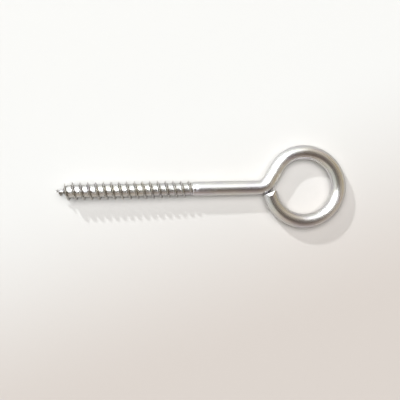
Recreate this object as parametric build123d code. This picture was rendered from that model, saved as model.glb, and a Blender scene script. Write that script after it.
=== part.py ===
from build123d import *
import math
import os

# Wood-thread screw eye, bent from one length of wire.
#
# It is built in its own axes first: the shank's axis is X, the gimlet point is at x = 0, and the eye
# lies in the XY plane with its neck bent towards +Y. laid_down then puts it on the ground, where it
# touches at the far side of the eye and at one crest of the thread. All sizes are in millimetres.

# Driving dimensions: the wire, the eye and the neck
OVERALL_LENGTH = 100.0
WIRE_DIA = 4.95
EYE_INNER_DIA = 18.8
EYE_OFFSET = 0.05  # how far the eye's centre lies off the shank's axis, towards the neck
EYE_START_RADIUS = 10.0  # centreline radius of the tighter first stretch of the eye
EYE_START_TURN = 48.0  # degrees that this stretch turns
NECK_RADIUS = 4.9  # centreline radius of the bend from the shank into the neck
NECK_STRAIGHT = 5.54  # straight wire between that bend and the eye

# Driving dimensions: the pinched-off end of the wire
END_GAP = 0.12  # between the neck and the blunt ridge that the cutters left
END_FACING = 25.5  # degrees round the neck's bend where that ridge faces it
PINCH_DEPTH = 1.3  # from the ridge back to the whole wire
PINCH_LAND = 0.6  # height of the ridge
NOSE_DEPTH = 0.2  # of the steep faces on both sides of the ridge
NOSE_SHARE = 0.79  # of the wire's diameter, across the outer edges of the steep faces
TEAR_SHARE = 0.8  # of the wire's radius, along the ridge from its point nearest the neck to the torn corner
CORNER_WIDTH = 1.3  # of the corner torn off at the ridge's inner end
CORNER_DEPTH = 1.0  # of the same along the wire

# Driving dimensions: the rolled wood thread
THREAD_LENGTH = 47.2
PITCH = 2.67
ROOT_SINK = 0.325  # depth of the root below the plain wire's surface
CREST_RISE_POINT = 0.695  # height of the sharp crests over the plain wire, behind the gimlet point
CREST_RISE_SHANK = 0.455  # the same for the last crests before the run-out
CREST_TAPER_START = 30.0  # from the tip, where the crests begin to drop
RIDGE_BASE = 1.1  # width of the ridge along the axis, at the root
RIDGE_WAIST = 0.44  # the same half way up its hollow flanks
RUNOUT_LENGTH = 1.3  # over which the ridge sinks at the end of the thread
RUNOUT_RISE = 0.1  # height over the root at which the ridge ends, at the shoulder
SHOULDER_RISE = 0.05  # height of the shoulder's small end over the end of the ridge
SHOULDER_LENGTH = 0.35  # from the end of the thread to the plain shank
THREAD_PHASE = -47.0  # degrees about the axis, from +Y, where the ridge starts at the tip

# Driving dimensions: the gimlet point
POINT_LENGTH = 3.8  # from the tip to the first full crest
CORE_POINT_LENGTH = 4.2  # from the tip to the full root
SPIKE_LENGTH = 2.3  # slender core at the very tip
SPIKE_DIA = 1.1
TIP_DIA = 0.5
TIP_CREST_DIA = 0.9
SPIKE_CREST_DIA = 2.8  # across the ridge half way along the slender core

# Points on each turn of the thread's edges
STEPS_PER_TURN = 16

WIRE_R = WIRE_DIA / 2
ROOT_R = WIRE_R - ROOT_SINK
RUNOUT_R = ROOT_R + RUNOUT_RISE
POINT_CREST_R = WIRE_R + CREST_RISE_POINT
SHANK_CREST_R = WIRE_R + CREST_RISE_SHANK
EYE_R = EYE_INNER_DIA / 2 + WIRE_R
EYE_CENTRE = Vector(OVERALL_LENGTH - EYE_R - WIRE_R, EYE_OFFSET, 0)
TAIL_START = -120.0  # degrees about the eye's centre, from +X, where the wire's last stretch starts
TAIL_SWEEP = 70.0
THREAD_AXES = Plane(origin=(0, 0, 0), x_dir=(0, 1, 0), z_dir=(1, 0, 0))


def neck_angle():
    """Angle in degrees between shank and neck that brings the neck onto the eye at a tangent."""
    turn = math.radians(EYE_START_TURN)
    across = NECK_RADIUS + EYE_START_RADIUS + (EYE_R - EYE_START_RADIUS) * math.cos(turn)
    along = (EYE_R - EYE_START_RADIUS) * math.sin(turn) - NECK_STRAIGHT
    drop = math.acos((NECK_RADIUS - EYE_OFFSET) / math.hypot(across, along))
    return math.degrees(drop + math.atan2(along, across))


def bend_start():
    """Place along the shank where the wire starts to bend into the neck."""
    angle = math.radians(neck_angle())
    start_centre = EYE_CENTRE.X - (EYE_R - EYE_START_RADIUS) * math.sin(angle - math.radians(EYE_START_TURN))
    return start_centre - (EYE_START_RADIUS + NECK_RADIUS) * math.sin(angle) - NECK_STRAIGHT * math.cos(angle)


def eased(outline, along):
    """Radius at one place on an outline of (along, radius) points, with a level run through each point."""
    for (start, start_radius), (end, end_radius) in zip(outline, outline[1:]):
        if along < end:
            share = max(0, (along - start) / (end - start))
            return start_radius + (end_radius - start_radius) * share * share * (3 - 2 * share)
    return outline[-1][1]


def root_radius(along):
    """Radius of the core under the ridge."""
    outline = [(0, TIP_DIA / 2), (SPIKE_LENGTH, SPIKE_DIA / 2), (CORE_POINT_LENGTH, ROOT_R)]
    return eased(outline, along)


def crest_radius(along):
    """Radius of the ridge's crest."""
    outline = [
        (0, TIP_CREST_DIA / 2),
        (SPIKE_LENGTH / 2, SPIKE_CREST_DIA / 2),
        (POINT_LENGTH, POINT_CREST_R),
        (CREST_TAPER_START, POINT_CREST_R),
        (THREAD_LENGTH - RUNOUT_LENGTH, SHANK_CREST_R),
        (THREAD_LENGTH, RUNOUT_R),
    ]
    return eased(outline, along)


def waist_radius(along):
    """Radius half way up the ridge's flanks."""
    return (root_radius(along) + crest_radius(along)) / 2


def rail_points(turn, offset, radius):
    """Points on one turn of a right-hand helix, at an offset along the axis from the ridge's crest."""
    points = []
    for step in range(STEPS_PER_TURN + 1):
        crest = PITCH * (turn - 1 + step / STEPS_PER_TURN)
        spoke = Vector(radius(crest + offset), 0, crest + offset)
        points.append(spoke.rotate(Axis.Z, THREAD_PHASE + 360 * crest / PITCH))
    return points


def rail(turn, offset, radius):
    """The same turn as a smooth edge."""
    steps = [float(step) for step in range(STEPS_PER_TURN + 1)]
    return Edge.make_spline(rail_points(turn, offset, radius), parameters=steps)


def thread_profile():
    """Corners of one pitch of the thread, as offsets from the crest and the radius that each follows."""
    return [
        (-RIDGE_BASE / 2, root_radius),
        (-RIDGE_WAIST / 2, waist_radius),
        (0, crest_radius),
        (RIDGE_WAIST / 2, waist_radius),
        (RIDGE_BASE / 2, root_radius),
        (PITCH - RIDGE_BASE / 2, root_radius),
    ]


def thread_end(rails, side):
    """The two faces that close one end of the thread: a ramp round the axis and a flat across the profile."""
    ramp_edge = rails[0] if side == 0 else rails[-1]
    low = Vector(0, 0, (ramp_edge @ 0).Z)
    high = Vector(0, 0, (ramp_edge @ 1).Z)
    corners = [edge @ side for edge in rails]
    axis_edge = Edge.make_line(low, high)
    ramp = Face.make_surface_from_curves(ramp_edge, axis_edge)
    return [ramp, Face(Wire.make_polygon([low] + corners + [high], close=True))]


def thread():
    """The thread and its gimlet point, ruled between helical rails, from before the tip into the shank."""
    turns = math.ceil((THREAD_LENGTH + RIDGE_BASE / 2) / PITCH) + 1
    rails = [[rail(turn, offset, radius) for offset, radius in thread_profile()] for turn in range(turns)]
    faces = thread_end(rails[0], 0) + thread_end(rails[-1], 1)
    for turn in rails:
        faces += [Face.make_surface_from_curves(left, right) for left, right in zip(turn, turn[1:])]
    return THREAD_AXES.from_local_coords(Solid(Shell(faces)))


def behind_the_tip():
    """Everything on the tip's side of x = 0, where the thread is cut off square."""
    return Pos(-PITCH, 0, 0) * Box(2 * PITCH, 4 * POINT_CREST_R, 4 * POINT_CREST_R)


def shoulder():
    """Short cone that leads from the end of the thread up to the plain shank."""
    start = Plane(origin=(THREAD_LENGTH, 0, 0), z_dir=(1, 0, 0))
    return Solid.make_cone(RUNOUT_R + SHOULDER_RISE, WIRE_R, SHOULDER_LENGTH, start)


def wire_along(path):
    """Round wire along a path."""
    return sweep(Plane(origin=path @ 0, z_dir=path % 0) * Circle(WIRE_R), path)


def shank_and_eye():
    """Plain shank, neck and most of the eye."""
    shank = Line((THREAD_LENGTH + SHOULDER_LENGTH, 0), (bend_start(), 0))
    bend = JernArc(shank @ 1, shank % 1, NECK_RADIUS, neck_angle())
    neck = Line(bend @ 1, bend @ 1 + (bend % 1) * NECK_STRAIGHT)
    eye_start = JernArc(neck @ 1, neck % 1, EYE_START_RADIUS, -EYE_START_TURN)
    eye = JernArc(eye_start @ 1, eye_start % 1, EYE_R, TAIL_START - 90 - neck_angle() + EYE_START_TURN)
    return wire_along(shank + bend + neck + eye_start + eye)


def ridge_plane():
    """Level plane where the pinched ridge comes nearest the neck: X points at it, Y at the eye's outer side."""
    facing = Vector(0, 1, 0).rotate(Axis.Z, END_FACING)
    neck_bend_centre = Vector(bend_start(), NECK_RADIUS, 0)
    return Plane(origin=neck_bend_centre - facing * (NECK_RADIUS + WIRE_R + END_GAP), x_dir=facing, z_dir=(0, 0, 1))


def pinch_wedge():
    """The room that the cutters left at the wire's end: on both sides a flat, a steep face and the ridge."""
    nose = (-NOSE_DEPTH, WIRE_R * NOSE_SHARE)
    outside = (NOSE_DEPTH - 2 * PINCH_DEPTH, WIRE_R * (2 - NOSE_SHARE))
    corners = [(0, PINCH_LAND / 2), nose, outside, (-3 * EYE_R, outside[1])]
    mirrored = [(along, -height) for along, height in reversed(corners)]
    upright = Plane.XZ * make_face(Polyline(corners + mirrored, close=True))
    return ridge_plane() * extrude(upright, 2 * WIRE_DIA, both=True)


def torn_corner():
    """What is missing at the inner end of the ridge, where the wire tore off."""
    start = -WIRE_R * TEAR_SHARE
    ahead = (CORNER_DEPTH / 2, start + CORNER_WIDTH / 2)
    beside = (-WIRE_DIA * CORNER_DEPTH / CORNER_WIDTH, start - WIRE_DIA)
    triangle = Polyline(ahead, beside, (ahead[0], beside[1]), close=True)
    return ridge_plane() * extrude(make_face(triangle), WIRE_DIA, both=True)


def pinched_tail():
    """The last stretch of the eye, up to the pinched-off end beside the neck."""
    start = EYE_CENTRE + Vector(EYE_R, 0, 0).rotate(Axis.Z, TAIL_START)
    direction = Vector(0, -1, 0).rotate(Axis.Z, TAIL_START)
    return wire_along(JernArc(start, direction, EYE_R, -TAIL_SWEEP)) & (pinch_wedge() - torn_corner())


def rest_tilt():
    """Angle in degrees by which the shank's axis falls towards the eye when the part lies down."""
    first = (-90 - THREAD_PHASE) % 360 / 360 * PITCH
    crests = [first + turn * PITCH for turn in range(int((THREAD_LENGTH - first) / PITCH) + 1)]
    eye_foot = EYE_CENTRE.X + EYE_R
    return max(math.degrees(math.atan((crest_radius(x) - WIRE_R) / (eye_foot - x))) for x in crests)


def laid_down(part):
    """The part as it lies on the ground, centred over the origin."""
    tilted = part.rotate(Axis.Y, rest_tilt())
    box = tilted.bounding_box()
    return tilted.moved(Location((-box.center().X, -box.center().Y, -box.min.Z)))


def screw_eye():
    """The whole part as one solid."""
    pointed_thread = thread() - behind_the_tip()
    return laid_down(shank_and_eye() + pinched_tail() + shoulder() + pointed_thread)


os.makedirs("parts", exist_ok=True)
export_step(screw_eye(), "parts/screw_eye.step")
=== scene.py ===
"""Looks for a wood-thread screw eye, bent from one length of zinc-plated wire, on a pale table in soft light.

Sizes are in millimetres and turned into metres when a mesh is made. The screw eye is first made in its own
axes: the shank's axis is X, the gimlet point is at x = 0, and the eye lies in the XY plane with its neck bent
towards +Y. It is laid down last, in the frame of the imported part.
"""

import logging
import math
from collections.abc import Sequence
from dataclasses import dataclass, field
from enum import Enum

import bmesh
import bpy
from mathutils import Matrix, Vector

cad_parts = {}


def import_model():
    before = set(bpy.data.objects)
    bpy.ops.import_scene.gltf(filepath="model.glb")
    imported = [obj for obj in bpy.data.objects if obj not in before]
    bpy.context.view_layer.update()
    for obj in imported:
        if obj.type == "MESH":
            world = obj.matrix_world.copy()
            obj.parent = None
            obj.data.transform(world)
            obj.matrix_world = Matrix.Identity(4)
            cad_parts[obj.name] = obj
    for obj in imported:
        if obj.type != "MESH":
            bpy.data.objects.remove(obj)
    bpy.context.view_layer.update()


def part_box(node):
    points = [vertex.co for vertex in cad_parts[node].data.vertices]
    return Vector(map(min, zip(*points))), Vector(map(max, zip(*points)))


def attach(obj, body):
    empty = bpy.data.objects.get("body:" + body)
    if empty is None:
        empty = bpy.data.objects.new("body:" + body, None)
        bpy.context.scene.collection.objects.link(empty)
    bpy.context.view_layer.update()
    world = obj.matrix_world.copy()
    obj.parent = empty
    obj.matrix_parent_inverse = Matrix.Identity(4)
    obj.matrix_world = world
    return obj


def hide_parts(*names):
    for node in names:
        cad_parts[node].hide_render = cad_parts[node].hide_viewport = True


Colour = tuple[float, float, float, float]
Direction = tuple[float, float, float]
Ring = list[bmesh.types.BMVert]

MM = 0.001
WELD_GAP = 0.002 * MM
CUT_SLACK = 0.0005 * MM
NODE = "screw_eye"
STRAIGHT_WIRE = "straight_wire"
GRAIN = "grain"
# Note of how bright the plating is rubbed, with grime and painted shade at the foot of the thread's ridge where it is
# low.
WEAR_AND_SHADE = "wear_and_shade"
CUT = "cut"
PLAIN_WEAR = 0.5
RUBBED_WEAR = 1.0
ORIGIN = Vector((0.0, 0.0, 0.0))
X_AXIS = Vector((1.0, 0.0, 0.0))
Z_AXIS = Vector((0.0, 0.0, 1.0))

log = logging.getLogger("screw_eye")


class SeenBy(Enum):
    """What a light panel shows in."""

    GLOSS = "gloss"
    TABLE = "table"


class Blend(Enum):
    """How one colour is laid over another."""

    COVER = "MIX"
    TINT = "MULTIPLY"


def eased(outline: Sequence[tuple[float, float]], along: float) -> float:
    """Reads a value off an outline that runs level through each of its points.

    Args:
        outline: Pairs of place along the outline and value, in order.
        along: The place to read it at.

    Returns:
        The value at that place.
    """
    for (start, start_value), (end, end_value) in zip(outline, outline[1:]):
        if along < end:
            share = max(0.0, (along - start) / (end - start))
            return start_value + (end_value - start_value) * share * share * (3 - 2 * share)
    return outline[-1][1]


def ring_edges(ring: Ring) -> list[bmesh.types.BMEdge]:
    """Finds the edges that join neighbours on a ring.

    Args:
        ring: The vertices of the ring.

    Returns:
        The edges with both ends on the ring.
    """
    members = set(ring)
    near = {edge: None for vert in ring for edge in vert.link_edges}
    return [edge for edge in near if all(end in members for end in edge.verts)]


def slice_off(bm: bmesh.types.BMesh, faces: list[bmesh.types.BMFace], through: Vector, normal: Vector) -> dict:
    """Cuts faces along a plane and takes away what lies in front of it.

    Args:
        bm: The mesh that holds them.
        faces: The faces to cut.
        through: A place on the plane, in millimetres.
        normal: The side to take away.

    Returns:
        The operator's lists of what it kept and of the cut itself.
    """
    edges = dict.fromkeys(edge for face in faces for edge in face.edges)
    verts = dict.fromkeys(vert for face in faces for vert in face.verts)
    return bmesh.ops.bisect_plane(
        bm,
        geom=[*verts, *edges, *faces],
        dist=CUT_SLACK,
        plane_co=through * MM,
        plane_no=normal,
        clear_outer=True,
    )


def attribute(tree: bpy.types.NodeTree, name: str, output: str) -> bpy.types.NodeSocket:
    """Reads what a mesh notes at each of its vertices.

    Args:
        tree: The tree to add to.
        name: Name of the note.
        output: Which output to read.

    Returns:
        The value read.
    """
    made = tree.nodes.new("ShaderNodeAttribute")
    made.attribute_name = name
    return made.outputs[output]


def nearness(tree: bpy.types.NodeTree, place: bpy.types.NodeSocket, direction: Direction) -> bpy.types.NodeSocket:
    """Measures how far a place lies along a direction.

    Args:
        tree: The tree to add to.
        place: The place or line of sight.
        direction: The direction, of unit length.

    Returns:
        The distance along it, which is a cosine for a line of sight.
    """
    made = tree.nodes.new("ShaderNodeVectorMath")
    made.operation = "DOT_PRODUCT"
    made.inputs[1].default_value = direction
    tree.links.new(place, made.inputs[0])
    return made.outputs["Value"]


def soft_step(tree: bpy.types.NodeTree, value: bpy.types.NodeSocket, low: float, high: float) -> bpy.types.NodeSocket:
    """Turns a value into a share that eases from 0 to 1.

    Args:
        tree: The tree to add to.
        value: The value to read.
        low: Where the share is 0.
        high: Where the share is 1.

    Returns:
        The share.
    """
    made = tree.nodes.new("ShaderNodeMapRange")
    made.interpolation_type = "SMOOTHSTEP"
    made.inputs["From Min"].default_value = low
    made.inputs["From Max"].default_value = high
    tree.links.new(value, made.inputs["Value"])
    return made.outputs["Result"]


def ramp(
    tree: bpy.types.NodeTree, value: bpy.types.NodeSocket, stops: Sequence[tuple[float, Colour]]
) -> bpy.types.NodeSocket:
    """Turns a value into a colour.

    Args:
        tree: The tree to add to.
        value: The value to read.
        stops: Pairs of value and colour, in order.

    Returns:
        The colour.
    """
    made = tree.nodes.new("ShaderNodeValToRGB")
    elements = made.color_ramp.elements
    elements.remove(elements[1])
    elements[0].position, elements[0].color = stops[0]
    for position, colour in stops[1:]:
        elements.new(position).color = colour
    tree.links.new(value, made.inputs["Fac"])
    return made.outputs["Color"]


def blended(
    tree: bpy.types.NodeTree,
    blend: Blend,
    share: bpy.types.NodeSocket | float,
    under: bpy.types.NodeSocket | Colour,
    over: bpy.types.NodeSocket | Colour,
) -> bpy.types.NodeSocket:
    """Lays one colour over another.

    Args:
        tree: The tree to add to.
        blend: How it is laid over.
        share: How much of it is laid over.
        under: The colour below.
        over: The colour laid over it.

    Returns:
        The resulting colour.
    """
    made = tree.nodes.new("ShaderNodeMix")
    made.data_type = "RGBA"
    made.blend_type = blend.value
    for name, source in (("Factor", share), ("A", under), ("B", over)):
        if isinstance(source, bpy.types.NodeSocket):
            tree.links.new(source, made.inputs[name])
        else:
            made.inputs[name].default_value = source
    return made.outputs["Result"]


@dataclass
class WoodThread:
    """The rolled wood thread with its gimlet point.

    Each pair in half_ridge is the distance from the crest and the share of the ridge's height there. Each pair in the
    last outline is a share of that height and a value there, high where the plating is rubbed bright and low at the
    foot of the ridge, where grime and painted shade darken it.
    """

    length: float = 47.2
    pitch: float = 2.67
    root_radius: float = 2.15
    point_crest_radius: float = 3.17
    shank_crest_radius: float = 2.93
    crest_taper_start: float = 30.0
    runout_length: float = 1.3
    runout_rise: float = 0.1
    phase: float = -47.0
    point_length: float = 3.8
    core_point_length: float = 4.2
    spike_length: float = 2.3
    spike_radius: float = 0.55
    tip_radius: float = 0.25
    tip_crest_radius: float = 0.45
    spike_crest_radius: float = 1.4
    steps_per_turn: int = 48
    spare_turns: int = 2
    root_edge: float = 0.04
    half_ridge: tuple[tuple[float, float], ...] = (
        (1.335, 0.0),
        (1.05, 0.0),
        (0.78, 0.0),
        (0.58, 0.012),
        (0.46, 0.06),
        (0.35, 0.19),
        (0.25, 0.42),
        (0.16, 0.68),
        (0.09, 0.88),
        (0.045, 0.975),
    )
    # Low at the foot of the ridge for grime and painted shade there, high at the crest where it is rubbed bright.
    wear_and_shade: tuple[tuple[float, float], ...] = ((0.0, 0.32), (0.06, 0.1), (0.25, 0.15), (0.6, 0.5), (1.0, 1.0))

    @property
    def ridge_height(self) -> float:
        """Full height of the ridge, from root to crest."""
        return self.point_crest_radius - self.root_radius

    def root_at(self, along: float) -> float:
        """Gives the radius of the core under the ridge.

        Args:
            along: Distance from the tip.

        Returns:
            The radius there.
        """
        outline = (
            (0.0, self.tip_radius),
            (self.spike_length, self.spike_radius),
            (self.core_point_length, self.root_radius),
        )
        return eased(outline, along)

    def crest_at(self, along: float) -> float:
        """Gives the radius of the ridge's crest.

        Args:
            along: Distance from the tip.

        Returns:
            The radius there.
        """
        outline = (
            (0.0, self.tip_crest_radius),
            (self.spike_length / 2, self.spike_crest_radius),
            (self.point_length, self.point_crest_radius),
            (self.crest_taper_start, self.point_crest_radius),
            (self.length - self.runout_length, self.shank_crest_radius),
            (self.length, self.root_radius + self.runout_rise),
        )
        return eased(outline, along)

    def grain_at(self, place: Vector) -> Vector:
        """Gives the way that fine lines run: along the root, as on the wire, and round the ridge.

        Args:
            place: A place on the thread, in metres.

        Returns:
            The direction of the lines there.
        """
        if math.hypot(place.y, place.z) / MM < self.root_at(place.x / MM) + self.root_edge:
            return X_AXIS
        return Vector((0.0, -place.z, place.y)).normalized()

    def profile(self) -> list[tuple[float, float]]:
        """Gives one pitch of the thread's profile.

        Returns:
            Pairs of offset from the crest and share of the ridge's height, from root to root.
        """
        rising = [(-offset, share) for offset, share in self.half_ridge]
        falling = [(offset, share) for offset, share in reversed(self.half_ridge)]
        return rising + [(0.0, 1.0)] + falling

    def draw_profile(self, bm: bmesh.types.BMesh) -> list[bmesh.types.BMVert | bmesh.types.BMEdge]:
        """Draws the profile as a chain of edges, one pitch before the tip.

        Args:
            bm: The mesh to draw into.

        Returns:
            The chain's vertices and edges.
        """
        points = [
            Vector((offset - self.pitch, self.root_radius + share * self.ridge_height, 0.0))
            for offset, share in self.profile()
        ]
        chain = [bm.verts.new(points[0] * MM)]
        for last, point in zip(points, points[1:]):
            grown = bmesh.ops.extrude_vert_indiv(bm, verts=[chain[-1]])
            bmesh.ops.translate(bm, verts=grown["verts"], vec=(point - last) * MM)
            chain.extend(grown["verts"])
        turn = Matrix.Rotation(math.radians(self.phase), 3, "X")
        bmesh.ops.rotate(bm, verts=chain, cent=ORIGIN, matrix=turn)
        return list(bm.verts) + list(bm.edges)

    def shape_radii(self, bm: bmesh.types.BMesh) -> None:
        """Draws the even screw in to the outlines of the core and the crest, and notes where the plating is rubbed
        bright and where grime and painted shade darken the foot of the ridge.

        Args:
            bm: The mesh that holds the screw.
        """
        wear_and_shade = bm.verts.layers.float[WEAR_AND_SHADE]
        for vert in bm.verts:
            radius = math.hypot(vert.co.y, vert.co.z) / MM
            share = (radius - self.root_radius) / self.ridge_height
            vert[wear_and_shade] = eased(self.wear_and_shade, share)
            along = vert.co.x / MM
            root = self.root_at(along)
            scale = (root + share * (self.crest_at(along) - root)) / radius
            vert.co.y *= scale
            vert.co.z *= scale

    def roll(self, bm: bmesh.types.BMesh) -> Ring:
        """Rolls the thread from the closed tip to its open end at the shank.

        Args:
            bm: The empty mesh to make it in.

        Returns:
            The vertices of the open end.
        """
        turns = math.ceil(self.length / self.pitch) + self.spare_turns
        bmesh.ops.spin(
            bm,
            geom=self.draw_profile(bm),
            cent=ORIGIN,
            axis=X_AXIS,
            dvec=X_AXIS * (self.pitch / self.steps_per_turn * MM),
            angle=math.tau * turns,
            steps=self.steps_per_turn * turns,
            use_duplicate=False,
        )
        bmesh.ops.remove_doubles(bm, verts=bm.verts, dist=WELD_GAP)
        self.shape_radii(bm)
        tip = slice_off(bm, bm.faces[:], ORIGIN, -X_AXIS)
        bmesh.ops.holes_fill(bm, edges=[cut for cut in tip["geom_cut"] if isinstance(cut, bmesh.types.BMEdge)])
        end = slice_off(bm, bm.faces[:], X_AXIS * self.length, X_AXIS)
        thread_end = [cut for cut in end["geom_cut"] if isinstance(cut, bmesh.types.BMVert)]
        place, grain = (bm.verts.layers.float_vector[name] for name in (STRAIGHT_WIRE, GRAIN))
        for vert in bm.verts:
            vert[place] = vert.co
            vert[grain] = self.grain_at(vert.co)
        return thread_end


@dataclass
class BentWire:
    """The plain shank, the neck and the eye, with the end that cutters pinched off.

    Each pair in shoulder is the distance from the end of the thread and the wire's radius there.
    """

    overall_length: float = 100.0
    radius: float = 2.475
    eye_inner_radius: float = 9.4
    eye_offset: float = 0.05
    eye_start_radius: float = 10.0
    eye_start_turn: float = 48.0
    neck_radius: float = 4.9
    neck_straight: float = 5.54
    tail_angle: float = 170.0
    tail_turn: float = 60.0
    end_gap: float = 0.12
    end_facing: float = 25.5
    pinch_depth: float = 1.3
    pinch_land: float = 0.6
    nose_depth: float = 0.2
    nose_share: float = 0.79
    tear_share: float = 0.8
    corner_width: float = 1.3
    corner_depth: float = 1.0
    pinch_edge: float = 0.06
    pinch_edge_steps: int = 3
    segments: int = 64
    shank_steps: int = 16
    neck_bend_steps: int = 24
    neck_steps: int = 4
    eye_start_steps: int = 16
    eye_steps: int = 76
    tail_steps: int = 24
    shoulder: tuple[tuple[float, float], ...] = (
        (0.03, 2.33),
        (0.14, 2.415),
        (0.27, 2.46),
        (0.42, 2.475),
        (0.62, 2.475),
        (0.72, 2.45),
        (0.82, 2.475),
        (1.12, 2.475),
        (1.22, 2.455),
        (1.32, 2.475),
    )

    @property
    def eye_radius(self) -> float:
        """Centreline radius of the eye."""
        return self.eye_inner_radius + self.radius

    @property
    def eye_centre(self) -> Vector:
        """Centre of the eye."""
        return Vector((self.overall_length - self.eye_radius - self.radius, self.eye_offset, 0.0))

    @property
    def neck_angle(self) -> float:
        """Angle between the shank and the neck that brings the neck onto the eye at a tangent.

        Returns:
            The angle in radians.
        """
        turn = math.radians(self.eye_start_turn)
        slack = self.eye_radius - self.eye_start_radius
        across = self.neck_radius + self.eye_start_radius + slack * math.cos(turn)
        along = slack * math.sin(turn) - self.neck_straight
        drop = math.acos((self.neck_radius - self.eye_offset) / math.hypot(across, along))
        return drop + math.atan2(along, across)

    @property
    def eye_start_centre(self) -> Vector:
        """Centre of the eye's tighter first stretch, which the neck runs onto at a tangent.

        Returns:
            The centre, in millimetres.
        """
        lean = self.neck_angle - math.radians(self.eye_start_turn)
        slack = self.eye_radius - self.eye_start_radius
        return self.eye_centre + Vector((-math.sin(lean), math.cos(lean), 0.0)) * slack

    @property
    def bend_start(self) -> float:
        """Place along the shank where the wire starts to bend into the neck."""
        run = (self.eye_start_radius + self.neck_radius) * math.sin(self.neck_angle)
        return self.eye_start_centre.x - run - self.neck_straight * math.cos(self.neck_angle)

    @property
    def neck_bend_centre(self) -> Vector:
        """Centre of the bend between the shank and the neck."""
        return Vector((self.bend_start, self.neck_radius, 0.0))

    def push(self, bm: bmesh.types.BMesh, ring: Ring, way: Vector, steps: int) -> Ring:
        """Grows the wire straight on from its last ring.

        Args:
            bm: The mesh that holds the wire.
            ring: The last ring.
            way: How far and which way, in millimetres.
            steps: Number of rings to make.

        Returns:
            The new last ring.
        """
        step = way / steps
        for _ in range(steps):
            grown = bmesh.ops.extrude_edge_only(bm, edges=ring_edges(ring))
            ring = [item for item in grown["geom"] if isinstance(item, bmesh.types.BMVert)]
            bmesh.ops.translate(bm, verts=ring, vec=step * MM)
            self.measure(bm, ring, step.length, step.normalized())
        return ring

    def bend(self, bm: bmesh.types.BMesh, ring: Ring, centre: Vector, angle: float, steps: int) -> Ring:
        """Bends the wire on round a centre from its last ring.

        Args:
            bm: The mesh that holds the wire.
            ring: The last ring.
            centre: Centre of the bend, in millimetres.
            angle: Angle of the bend in radians, anticlockwise seen from above.
            steps: Number of rings to make.

        Returns:
            The new last ring.
        """
        middle = sum((vert.co for vert in ring), Vector()) / len(ring) / MM
        length = (middle - centre).length * abs(angle) / steps
        heading = Z_AXIS.cross(middle - centre).normalized() * math.copysign(1.0, angle)
        for _ in range(steps):
            turned = bmesh.ops.spin(
                bm,
                geom=ring + ring_edges(ring),
                cent=centre * MM,
                axis=Z_AXIS,
                angle=angle / steps,
                steps=1,
                use_duplicate=False,
            )
            heading.rotate(Matrix.Rotation(angle / steps, 3, "Z"))
            ring = [item for item in turned["geom_last"] if isinstance(item, bmesh.types.BMVert)]
            self.measure(bm, ring, length, heading)
        return ring

    def measure(self, bm: bmesh.types.BMesh, ring: Ring, step: float, heading: Vector) -> None:
        """Notes where a new ring lay before the wire was bent, and which way its draw lines run.

        Args:
            bm: The mesh that holds the wire.
            ring: The new ring, which carries the last ring's notes.
            step: Length of wire between the two, in millimetres.
            heading: Direction of the wire at the new ring.
        """
        place, grain = (bm.verts.layers.float_vector[name] for name in (STRAIGHT_WIRE, GRAIN))
        for vert in ring:
            vert[place] = vert[place] + X_AXIS * step * MM
            vert[grain] = heading

    def start(self, bm: bmesh.types.BMesh, thread_length: float) -> tuple[Ring, Ring]:
        """Makes the shoulder after the thread, with the faint marks that the rolling dies left.

        Args:
            bm: The mesh to make it in.
            thread_length: Where the thread ends.

        Returns:
            The first ring and the last one.
        """
        along, radius = self.shoulder[0]
        upright = Matrix.Rotation(math.pi / 2, 4, "Y")
        first = bmesh.ops.create_circle(bm, segments=self.segments, radius=radius * MM, matrix=upright)["verts"]
        bmesh.ops.translate(bm, verts=first, vec=X_AXIS * ((thread_length + along) * MM))
        place, grain = (bm.verts.layers.float_vector[name] for name in (STRAIGHT_WIRE, GRAIN))
        wear_and_shade = bm.verts.layers.float[WEAR_AND_SHADE]
        for vert in first:
            vert[place] = vert.co
            vert[grain] = X_AXIS
            vert[wear_and_shade] = PLAIN_WEAR
        ring = first
        for (last_along, last_radius), (along, radius) in zip(self.shoulder, self.shoulder[1:]):
            ring = self.push(bm, ring, X_AXIS * (along - last_along), 1)
            bmesh.ops.scale(bm, verts=ring, vec=(1.0, radius / last_radius, radius / last_radius))
            for vert in ring:
                vert[place] = vert.co
        return first, ring

    def form(self, bm: bmesh.types.BMesh, thread_length: float) -> Ring:
        """Forms the wire from the shoulder to the pinched-off end.

        Args:
            bm: The mesh to make it in.
            thread_length: Where the thread ends.

        Returns:
            The first ring, at the end of the thread.
        """
        first, ring = self.start(bm, thread_length)
        shank = X_AXIS * (self.bend_start - thread_length - self.shoulder[-1][0])
        ring = self.push(bm, ring, shank, self.shank_steps)
        ring = self.bend(bm, ring, self.neck_bend_centre, self.neck_angle, self.neck_bend_steps)
        neck = Vector((math.cos(self.neck_angle), math.sin(self.neck_angle), 0.0)) * self.neck_straight
        ring = self.push(bm, ring, neck, self.neck_steps)
        first_turn, last_turn = math.radians(self.eye_start_turn), math.radians(self.tail_turn)
        ring = self.bend(bm, ring, self.eye_start_centre, -first_turn, self.eye_start_steps)
        sweep = self.neck_angle - first_turn + math.pi * 1.5 + math.radians(180.0 - self.tail_angle)
        ring = self.bend(bm, ring, self.eye_centre, last_turn - sweep, self.eye_steps)
        before = set(bm.faces)
        self.bend(bm, ring, self.eye_centre, -last_turn, self.tail_steps)
        self.pinch(bm, [face for face in bm.faces if face not in before])
        return first

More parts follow.
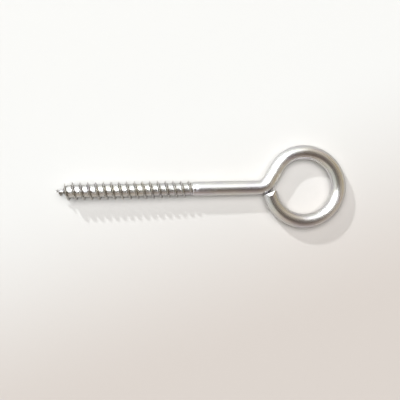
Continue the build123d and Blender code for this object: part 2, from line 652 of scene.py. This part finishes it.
    def end_cuts(self) -> list[tuple[Vector, Vector]]:
        """Lays out the planes that shape the end, in the order in which they are cut.

        First comes the blunt ridge, then a steep face and a flat on both sides, and last the torn corner.

        Returns:
            Pairs of a place on the plane, in millimetres, and the side that falls away.
        """
        facing = math.radians(self.end_facing)
        outward = Vector((-math.sin(facing), math.cos(facing), 0.0))
        ridge = self.neck_bend_centre - outward * (self.neck_radius + self.radius + self.end_gap)
        corners = (
            (0.0, self.pinch_land / 2),
            (self.nose_depth, self.radius * self.nose_share),
            (self.pinch_depth, self.radius),
        )
        cuts = [(ridge, outward)]
        for (front, low), (back, high) in zip(corners, corners[1:]):
            for side in (1, -1):
                slope = outward * (high - low) + Z_AXIS * (side * (back - front))
                cuts.append((ridge - outward * front + Z_AXIS * (side * low), slope.normalized()))
        inward = outward.cross(Z_AXIS)
        tear = outward * self.corner_width + inward * self.corner_depth
        cuts.append((ridge + inward * (self.radius * self.tear_share), tear.normalized()))
        return cuts

    def pinch(self, bm: bmesh.types.BMesh, tail: list[bmesh.types.BMFace]) -> None:
        """Cuts the end of the wire off, closes it and rounds its edges, which are rubbed bright.

        Args:
            bm: The mesh that holds the wire.
            tail: The faces of its last stretch.
        """
        is_cut = bm.faces.layers.int[CUT]
        for through, normal in self.end_cuts():
            cut = slice_off(bm, tail, through, normal)
            tail = [item for item in cut["geom"] if isinstance(item, bmesh.types.BMFace)]
            rim = [item for item in cut["geom_cut"] if isinstance(item, bmesh.types.BMEdge)]
            for face in bmesh.ops.holes_fill(bm, edges=rim)["faces"]:
                face[is_cut] = 1
                tail.append(face)
        rounded = bmesh.ops.bevel(
            bm,
            geom=list(dict.fromkeys(edge for face in tail if face[is_cut] for edge in face.edges)),
            offset=self.pinch_edge * MM,
            offset_type="OFFSET",
            segments=self.pinch_edge_steps,
            profile=0.5,
            affect="EDGES",
            clamp_overlap=True,
            material=-1,
        )
        wear_and_shade = bm.verts.layers.float[WEAR_AND_SHADE]
        for vert in rounded["verts"]:
            vert[wear_and_shade] = RUBBED_WEAR


@dataclass(frozen=True)
class ZincPlate:
    """Bright zinc plating over drawn wire.

    The drawing die left faint lines along the wire, the plating took straw and violet tints in patches, grime and
    painted shade darken the foot of the thread's ridge, and the crest and the cut edges are rubbed bright. Scales are
    noise cells to the metre, along the wire and across it.
    """

    zinc: Colour = (0.665, 0.66, 0.65, 1.0)
    straw: Colour = (0.66, 0.64, 0.59, 1.0)
    violet: Colour = (0.62, 0.605, 0.64, 1.0)
    # Grime and painted shade at the foot of the thread's ridge.
    dirt_and_painted_shade: Colour = (0.50, 0.49, 0.475, 1.0)
    clean: Colour = (1.0, 1.0, 1.0, 1.0)
    rubbed: Colour = (1.12, 1.11, 1.1, 1.0)
    edge_tint: Colour = (0.45, 0.43, 0.41, 1.0)
    tint_stops: tuple[float, float, float, float] = (0.36, 0.47, 0.55, 0.68)
    wear_and_shade_stops: tuple[float, float, float, float] = (0.1, 0.4, 0.6, 0.95)
    smooth: float = 0.245
    rough: float = 0.29
    rough_stops: tuple[float, float] = (0.3, 0.7)
    grain_share: float = 0.9
    grain_turn: float = 0.25
    line_scale: tuple[float, float, float] = (22.0, 1500.0, 1500.0)
    line_detail: float = 3.0
    line_depth: float = 0.006
    line_relief: float = 0.25
    patch_scale: tuple[float, float, float] = (110.0, 330.0, 330.0)
    patch_detail: float = 2.0

    def noise(self, tree: bpy.types.NodeTree, scale: tuple[float, float, float], detail: float) -> bpy.types.NodeSocket:
        """Makes a noise that follows the wire through its bends.

        Args:
            tree: The tree to add to.
            scale: Noise cells to the metre, along the wire and across it.
            detail: How many finer layers it has.

        Returns:
            The noise's value.
        """
        stretch = tree.nodes.new("ShaderNodeVectorMath")
        stretch.operation = "MULTIPLY"
        stretch.inputs[1].default_value = scale
        tree.links.new(attribute(tree, STRAIGHT_WIRE, "Vector"), stretch.inputs[0])
        made = tree.nodes.new("ShaderNodeTexNoise")
        made.inputs["Scale"].default_value = 1.0
        made.inputs["Detail"].default_value = detail
        tree.links.new(stretch.outputs["Vector"], made.inputs["Vector"])
        return made.outputs["Fac"]

    def tint(self, tree: bpy.types.NodeTree) -> bpy.types.NodeSocket:
        """Colours the plating in patches, darker at the foot of the thread's ridge with grime and painted shade, and
        brighter where it is rubbed.

        Args:
            tree: The tree to add to.

        Returns:
            The colour.
        """
        patches = self.noise(tree, self.patch_scale, self.patch_detail)
        plating = ramp(tree, patches, tuple(zip(self.tint_stops, (self.violet, self.zinc, self.zinc, self.straw))))
        wear_and_shade = attribute(tree, WEAR_AND_SHADE, "Fac")
        # Low values give grime and painted shade, high ones a rubbed brightness.
        worn_and_shaded = ramp(tree, wear_and_shade, tuple(zip(self.wear_and_shade_stops, (self.dirt_and_painted_shade, self.clean, self.clean, self.rubbed))))
        return blended(tree, Blend.TINT, 1.0, plating, worn_and_shaded)

    def material(self) -> bpy.types.Material:
        """Makes the material.

        Returns:
            The material.
        """
        made = bpy.data.materials.new("zinc_plate")
        made.use_nodes = True
        tree = made.node_tree
        shader = tree.nodes["Principled BSDF"]
        shader.inputs["Metallic"].default_value = 1.0
        shader.inputs["Specular Tint"].default_value = self.edge_tint
        shader.inputs["Anisotropic"].default_value = self.grain_share
        shader.inputs["Anisotropic Rotation"].default_value = self.grain_turn
        tree.links.new(attribute(tree, GRAIN, "Vector"), shader.inputs["Tangent"])
        tree.links.new(self.tint(tree), shader.inputs["Base Color"])

        lines = self.noise(tree, self.line_scale, self.line_detail)
        dull = tree.nodes.new("ShaderNodeMapRange")
        dull.inputs["From Min"].default_value, dull.inputs["From Max"].default_value = self.rough_stops
        dull.inputs["To Min"].default_value = self.smooth
        dull.inputs["To Max"].default_value = self.rough
        tree.links.new(lines, dull.inputs["Value"])
        tree.links.new(dull.outputs["Result"], shader.inputs["Roughness"])

        relief = tree.nodes.new("ShaderNodeBump")
        relief.inputs["Strength"].default_value = self.line_relief
        relief.inputs["Distance"].default_value = self.line_depth * MM
        tree.links.new(lines, relief.inputs["Height"])
        tree.links.new(relief.outputs["Normal"], shader.inputs["Normal"])
        return made


@dataclass(frozen=True)
class PaleTable:
    """The pale matt top of the table, with painted light and shade: its colour is lighter towards the window and greyer
    and warmer away from it.
    """

    # Painted light towards the window and painted shade away from it.
    painted_light_side: Colour = (0.73, 0.73, 0.715, 1.0)
    painted_shade_side: Colour = (0.56, 0.515, 0.48, 1.0)
    towards_window: Direction = (-0.3, 0.954, 0.0)
    reach: tuple[float, float] = (-60.0, 25.0)
    roughness: float = 0.85
    shine: float = 0.2

    def material(self) -> bpy.types.Material:
        """Makes the material.

        Returns:
            The material.
        """
        made = bpy.data.materials.new("pale_table")
        made.use_nodes = True
        tree = made.node_tree
        place = tree.nodes.new("ShaderNodeTexCoord").outputs["Object"]
        far, near = (end * MM for end in self.reach)
        share = soft_step(tree, nearness(tree, place, self.towards_window), far, near)
        shader = tree.nodes["Principled BSDF"]
        # The table's colour with the painted light and shade laid across it.
        tone = blended(tree, Blend.COVER, share, self.painted_shade_side, self.painted_light_side)
        tree.links.new(tone, shader.inputs["Base Color"])
        shader.inputs["Roughness"].default_value = self.roughness
        shader.inputs["Specular IOR Level"].default_value = self.shine
        return made


@dataclass
class ScrewEye:
    """The whole screw eye, one piece of wire."""

    thread: WoodThread = field(default_factory=WoodThread)
    wire: BentWire = field(default_factory=BentWire)
    finish: ZincPlate = field(default_factory=ZincPlate)
    tilt: float = 0.598
    sharp_angle: float = 38.0

    def lay_down(self, bm: bmesh.types.BMesh) -> None:
        """Lays the screw eye on the ground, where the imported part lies, and no larger than it.

        Args:
            bm: The mesh that holds it.
        """
        lean = Matrix.Rotation(math.radians(self.tilt), 3, "Y")
        bmesh.ops.rotate(bm, verts=bm.verts, cent=ORIGIN, matrix=lean)
        low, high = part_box(NODE)
        mine_low = Vector([min(vert.co[axis] for vert in bm.verts) for axis in range(3)])
        mine_high = Vector([max(vert.co[axis] for vert in bm.verts) for axis in range(3)])
        fit = min(1.0, *((high[axis] - low[axis]) / (mine_high[axis] - mine_low[axis]) for axis in range(3)))
        bmesh.ops.scale(bm, verts=bm.verts, vec=(fit, fit, fit))
        shift = (Vector(low) + Vector(high) - (mine_low + mine_high) * fit) / 2
        shift.z = low[2] - mine_low.z * fit
        bmesh.ops.translate(bm, verts=bm.verts, vec=shift)

    def build(self) -> bpy.types.Object:
        """Builds the screw eye and gives it its finish.

        Returns:
            The finished object.
        """
        bm = bmesh.new()
        for name in (STRAIGHT_WIRE, GRAIN):
            bm.verts.layers.float_vector.new(name)
        bm.verts.layers.float.new(WEAR_AND_SHADE)
        bm.faces.layers.int.new(CUT)
        thread_end = self.thread.roll(bm)
        first = self.wire.form(bm, self.thread.length)
        bmesh.ops.bridge_loops(bm, edges=ring_edges(thread_end) + ring_edges(first))
        bmesh.ops.recalc_face_normals(bm, faces=bm.faces)
        self.lay_down(bm)
        for face in bm.faces:
            face.smooth = True
        mesh = bpy.data.meshes.new(NODE + "_wire")
        bm.to_mesh(mesh)
        bm.free()
        mesh.set_sharp_from_angle(angle=math.radians(self.sharp_angle))
        mesh.materials.append(self.finish.material())
        piece = bpy.data.objects.new(NODE + "_wire", mesh)
        bpy.context.collection.objects.link(piece)
        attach(piece, "root")
        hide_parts(NODE)
        return piece


@dataclass(frozen=True)
class LightPanel:
    """One light panel that faces the screw eye.

    Angles are in degrees and lengths in millimetres. The azimuth runs from +X towards +Y, and the lean is how far
    the panel faces down.
    """

    name: str
    azimuth: float
    reach: float
    height: float
    lean: float
    size: tuple[float, float]
    glow: float
    seen_by: SeenBy
    colour: tuple[float, float, float] = (0.95, 0.985, 1.0)

    def hang(self) -> bpy.types.Object:
        """Hangs the panel.

        Returns:
            The light's object.
        """
        lamp = bpy.data.lights.new(self.name, "AREA")
        lamp.shape = "RECTANGLE"
        lamp.size, lamp.size_y = self.size[0] * MM, self.size[1] * MM
        lamp.color = self.colour
        lamp.energy = self.glow * math.pi * lamp.size * lamp.size_y
        holder = bpy.data.objects.new(self.name, lamp)
        turn, lean = math.radians(self.azimuth), math.radians(self.lean)
        away = Vector((math.cos(turn), math.sin(turn), 0.0))
        back = away * math.cos(lean) + Z_AXIS * math.sin(lean)
        holder.location = (away * self.reach + Z_AXIS * self.height) * MM
        holder.rotation_euler = back.to_track_quat("Z", "Y").to_euler()
        holder.visible_camera = False
        holder.visible_diffuse = self.seen_by is SeenBy.TABLE
        holder.visible_glossy = self.seen_by is SeenBy.GLOSS
        bpy.context.collection.objects.link(holder)
        return holder


@dataclass(frozen=True)
class RoomPatch:
    """A round patch of the room that tints the light from there.

    The tint is full within the core and gone at the edge, both given in degrees from the patch's direction.
    """

    direction: Direction
    edge: float
    core: float
    tint: Colour

    def laid_over(
        self, tree: bpy.types.NodeTree, sight: bpy.types.NodeSocket, light: bpy.types.NodeSocket
    ) -> bpy.types.NodeSocket:
        """Tints the room's light in this patch.

        Args:
            tree: The tree to add to.
            sight: The line of sight.
            light: The light so far.

        Returns:
            The light with the patch in it.
        """
        edge, core = (math.cos(math.radians(angle)) for angle in (self.edge, self.core))
        share = soft_step(tree, nearness(tree, sight, self.direction), edge, core)
        return blended(tree, Blend.TINT, share, light, self.tint)


@dataclass
class Room:
    """The soft light of the room: pale walls, a dark ceiling and some lighter places.

    It shows in reflections only, as the skylight and the lamp light the table.
    """

    window_wall: Direction = (-0.866, 0.5, 0.0)
    wall_tones: tuple[tuple[float, Colour], ...] = (
        (0.0, (0.63, 0.56, 0.49, 1.0)),
        (0.25, (0.70, 0.67, 0.60, 1.0)),
        (0.5, (0.82, 0.83, 0.78, 1.0)),
        (0.75, (0.97, 0.99, 0.97, 1.0)),
        (1.0, (1.34, 1.37, 1.38, 1.0)),
    )
    patches: tuple[RoomPatch, ...] = (
        RoomPatch((0.03, -0.07, 0.997), 48.0, 12.0, (0.12, 0.117, 0.12, 1.0)),
        RoomPatch((0.20, -0.55, 0.81), 44.0, 8.0, (0.50, 0.42, 0.39, 1.0)),
        RoomPatch((0.116, 0.659, 0.743), 40.0, 8.0, (1.7, 1.72, 1.72, 1.0)),
        RoomPatch((0.97, 0.1, 0.2), 60.0, 15.0, (0.97, 0.93, 0.76, 1.0)),
        RoomPatch((-0.418, -0.668, 0.616), 30.0, 8.0, (1.45, 1.45, 1.42, 1.0)),
        RoomPatch((0.27, -0.09, 0.959), 27.0, 4.0, (3.1, 3.05, 2.95, 1.0)),
    )

    def fill(self) -> None:
        """Fills the room with its light."""
        world = bpy.data.worlds.new("room")
        world.use_nodes = True
        tree = world.node_tree
        sight = tree.nodes.new("ShaderNodeTexCoord").outputs["Generated"]
        light = ramp(tree, nearness(tree, sight, self.window_wall), self.wall_tones)
        for patch in self.patches:
            light = patch.laid_over(tree, sight, light)
        tree.links.new(light, tree.nodes["Background"].inputs["Color"])
        world.cycles_visibility.diffuse = False
        bpy.context.scene.world = world


@dataclass
class Studio:
    """The table, the light and the camera."""

    table: PaleTable = field(default_factory=PaleTable)
    room: Room = field(default_factory=Room)
    table_size: float = 12000.0
    view_width: float = 138.4
    aim: tuple[float, float, float] = (-0.41, -3.87, 2.5)
    roll: float = -1.1
    lens: float = 60.0
    sensor_width: float = 36.0
    nearest_view: float = 1.0
    panels: tuple[LightPanel, ...] = (
        LightPanel("window", 131.0, 300.0, 830.0, 0.0, (410.0, 1160.0), 1.8, SeenBy.GLOSS),
        LightPanel("window_sky", 131.0, 280.0, 655.0, 0.0, (280.0, 790.0), 8.5, SeenBy.GLOSS),
        LightPanel("side_window", 83.0, 310.0, 660.0, 0.0, (180.0, 840.0), 1.6, SeenBy.GLOSS),
        LightPanel("skylight", 98.0, 880.0, 5600.0, 81.0, (7200.0, 5120.0), 4.0, SeenBy.TABLE, (1.0, 0.988, 0.98)),
        LightPanel("lamp", 125.5, 6360.0, 3384.0, 28.0, (320.0, 320.0), 930.0, SeenBy.TABLE),
    )

    def lay_table(self) -> bpy.types.Object:
        """Makes the table top under the screw eye.

        Returns:
            The table top.
        """
        bm = bmesh.new()
        bmesh.ops.create_grid(bm, x_segments=1, y_segments=1, size=self.table_size / 2 * MM)
        mesh = bpy.data.meshes.new("table")
        bm.to_mesh(mesh)
        bm.free()
        mesh.materials.append(self.table.material())
        top = bpy.data.objects.new("table", mesh)
        bpy.context.collection.objects.link(top)
        return top

    def set_camera(self) -> bpy.types.Object:
        """Sets the camera straight above the screw eye.

        Returns:
            The camera.
        """
        data = bpy.data.cameras.new("camera")
        data.lens = self.lens
        data.sensor_width = self.sensor_width
        data.clip_start = self.nearest_view * MM
        holder = bpy.data.objects.new("camera", data)
        height = self.view_width * self.lens / self.sensor_width
        holder.location = (Vector(self.aim) + Z_AXIS * height) * MM
        holder.rotation_euler = (0.0, 0.0, math.radians(self.roll))
        bpy.context.collection.objects.link(holder)
        bpy.context.scene.camera = holder
        return holder

    def set_up(self) -> list[bpy.types.Object]:
        """Sets up the table, the light and the camera.

        Returns:
            What was set up.
        """
        top = self.lay_table()
        self.room.fill()
        lights = [panel.hang() for panel in self.panels]
        bpy.context.scene.view_settings.view_transform = "Standard"
        return [top, *lights, self.set_camera()]


def main() -> None:
    """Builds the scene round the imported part."""
    logging.basicConfig(level=logging.INFO)
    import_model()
    piece = ScrewEye().build()
    log.info("%s: %d faces", piece.name, len(piece.data.polygons))
    for item in Studio().set_up():
        log.info("%s set up", item.name)


if __name__ == "__main__":
    main()
